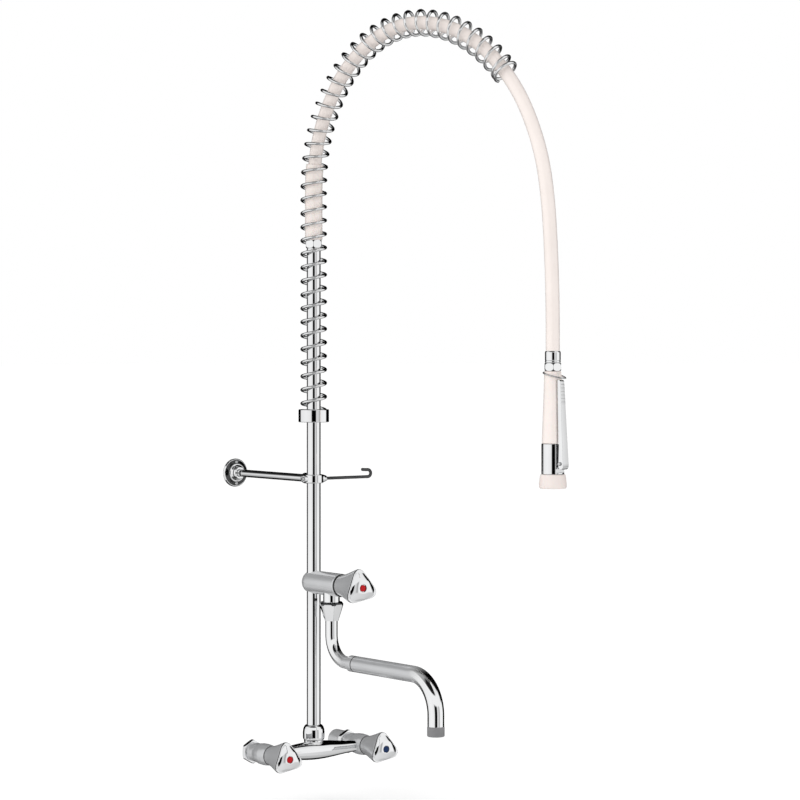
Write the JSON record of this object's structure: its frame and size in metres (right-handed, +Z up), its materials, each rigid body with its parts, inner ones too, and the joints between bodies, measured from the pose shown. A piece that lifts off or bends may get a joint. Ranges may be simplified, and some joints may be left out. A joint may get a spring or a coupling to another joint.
{
  "type": "pre rinse faucet",
  "caption": "Wall-mounted pre rinse faucet with twin-inlet mixer, riser, telescopic swivel spout, spring-guarded hose and lever spray gun.",
  "frame": {"origin": "centre of the wall flange's back face, which lies on the wall", "axes": "+X right along the wall seen from the front, +Y into the wall, +Z up"},
  "size_m": [0.2138, 0.573, 0.9647],
  "materials": {
    "polished_chrome": "mirror polished chrome plate",
    "spring_chrome": "chrome plated spring wire",
    "satin_steel": "satin stainless steel",
    "brass": "plain turned brass",
    "seal_rubber": "black rubber",
    "cream_hose": "smooth cream reinforced hose",
    "cream_plastic": "cream insulating grip",
    "cream_rubber": "cream rubber bumper",
    "grey_plastic": "mid grey moulded plastic",
    "red_dot": "red marker cap",
    "blue_dot": "dark blue marker cap"
  },
  "bodies": {
    "root": {"mixer_body": "polished_chrome", "hot_inlet_nut": "polished_chrome", "cold_inlet_nut": "polished_chrome", "hot_inlet_washer": "seal_rubber", "cold_inlet_washer": "seal_rubber", "cold_inlet_coupling": "satin_steel", "hot_gland_nut": "brass", "cold_gland_nut": "brass", "tap_gland_nut": "brass", "riser_nut": "polished_chrome", "riser_seal": "seal_rubber", "lower_riser": "polished_chrome", "upper_riser": "polished_chrome", "riser_top_nut": "polished_chrome", "tap_body": "polished_chrome", "spout_nut": "polished_chrome", "spout_seal": "seal_rubber", "wall_flange": "polished_chrome", "bracket_rod": "polished_chrome", "riser_clamp": "polished_chrome", "clamp_screw": "satin_steel", "gun_hook": "polished_chrome", "spring_collar": "polished_chrome", "collar_screw": "satin_steel", "flange_screw_top": "satin_steel", "flange_screw_bottom": "satin_steel"},
    "hot_handle": {"hot_knob": "polished_chrome", "hot_dot": "red_dot", "hot_knob_screw": "satin_steel", "hot_spindle": "brass"},
    "hot_valve": {"hot_valve_washer": "seal_rubber"},
    "cold_handle": {"cold_knob": "polished_chrome", "cold_dot": "blue_dot", "cold_knob_screw": "satin_steel", "cold_spindle": "brass"},
    "cold_valve": {"cold_valve_washer": "seal_rubber"},
    "tap_handle": {"tap_knob": "polished_chrome", "tap_dot": "red_dot", "tap_knob_screw": "satin_steel", "tap_spindle": "brass"},
    "tap_valve": {"tap_valve_washer": "seal_rubber"},
    "spout": {"spout_inner_tube": "polished_chrome"},
    "spout_sleeve": {"spout_outer_tube": "polished_chrome", "spout_o_ring": "seal_rubber", "spout_outlet_ring": "grey_plastic", "spout_aerator": "grey_plastic"},
    "arch": {"hose": "cream_hose", "hose_sleeve": "cream_hose", "guard_spring": "spring_chrome"},
    "hose_end": {"hose_ferrule": "polished_chrome"},
    "gun": {"gun_nut": "polished_chrome", "gun_handle": "cream_plastic", "valve_housing": "polished_chrome", "bumper": "cream_rubber", "spray_plate": "grey_plastic", "lever_pin": "satin_steel", "valve_spring": "satin_steel"},
    "lever_arm": {"lever": "polished_chrome"},
    "stem": {"valve_stem": "satin_steel"},
    "ring": {"lock_ring": "satin_steel"}
  },
  "joints": [
    {"name": "hot_knob_turn", "type": "hinge", "parent": "root", "child": "hot_handle", "pos_m": [-0.075, -0.19, -0.351], "axis": [0, -1, 0], "range_deg": [0, 360]},
    {"name": "hot_washer_lift", "type": "slide", "parent": "root", "child": "hot_valve", "axis": [0, -1, 0], "range_m": [0, 0.003]},
    {"name": "cold_knob_turn", "type": "hinge", "parent": "root", "child": "cold_handle", "pos_m": [0.075, -0.19, -0.351], "axis": [0, -1, 0], "range_deg": [0, 360]},
    {"name": "cold_washer_lift", "type": "slide", "parent": "root", "child": "cold_valve", "axis": [0, -1, 0], "range_m": [0, 0.003]},
    {"name": "tap_knob_turn", "type": "hinge", "parent": "root", "child": "tap_handle", "pos_m": [0, -0.19, -0.134], "axis": [0, -1, 0], "range_deg": [0, 360]},
    {"name": "tap_washer_lift", "type": "slide", "parent": "root", "child": "tap_valve", "axis": [0, -1, 0], "range_m": [0, 0.003]},
    {"name": "spout_swivel", "type": "hinge", "parent": "root", "child": "spout", "pos_m": [0, -0.2305, -0.171], "axis": [0, 0, 1], "range_deg": [-110, 110]},
    {"name": "spout_extend", "type": "slide", "parent": "spout", "child": "spout_sleeve", "axis": [0, -1, 0], "range_m": [0, 0.06]},
    {"name": "arch_swing", "type": "hinge", "parent": "root", "child": "arch", "pos_m": [0, -0.19, 0.09], "axis": [0, 0, 1], "range_deg": [-60, 60]},
    {"name": "spray_swing", "type": "hinge", "parent": "arch", "child": "hose_end", "pos_m": [0.10207, -0.54595, 0.349], "axis": [0.9613, 0.2756, 0], "range_deg": [-30, 25], "stiffness_Nm_per_rad": 1, "deforming": ["hose"]},
    {"name": "spray_swivel", "type": "hinge", "parent": "hose_end", "child": "gun", "pos_m": [0.10405, -0.55288, 0.153], "axis": [0, 0, 1], "continuous": true},
    {"name": "lever_open", "type": "hinge", "parent": "gun", "child": "lever_arm", "pos_m": [0.10802, -0.56672, 0.031], "axis": [0.9613, 0.2756, 0], "range_deg": [0, 14]},
    {"name": "stem_slide", "type": "slide", "parent": "gun", "child": "stem", "axis": [0.2756, -0.9613, 0], "range_m": [0, 0.0025], "deforming": ["valve_spring"]},
    {"name": "ring_lift", "type": "hinge", "parent": "gun", "child": "ring", "pos_m": [0.10088, -0.54182, 0.1416], "axis": [-0.9613, -0.2756, 0], "range_deg": [0, 25]}
  ],
  "couplings": [
    {"joint": "hot_washer_lift", "follows": "hot_knob_turn", "m_per_rad": 0.0004765},
    {"joint": "cold_washer_lift", "follows": "cold_knob_turn", "m_per_rad": 0.0004765},
    {"joint": "tap_washer_lift", "follows": "tap_knob_turn", "m_per_rad": 0.0004765},
    {"joint": "stem_slide", "follows": "lever_open", "m_per_rad": 0.0095}
  ]
}
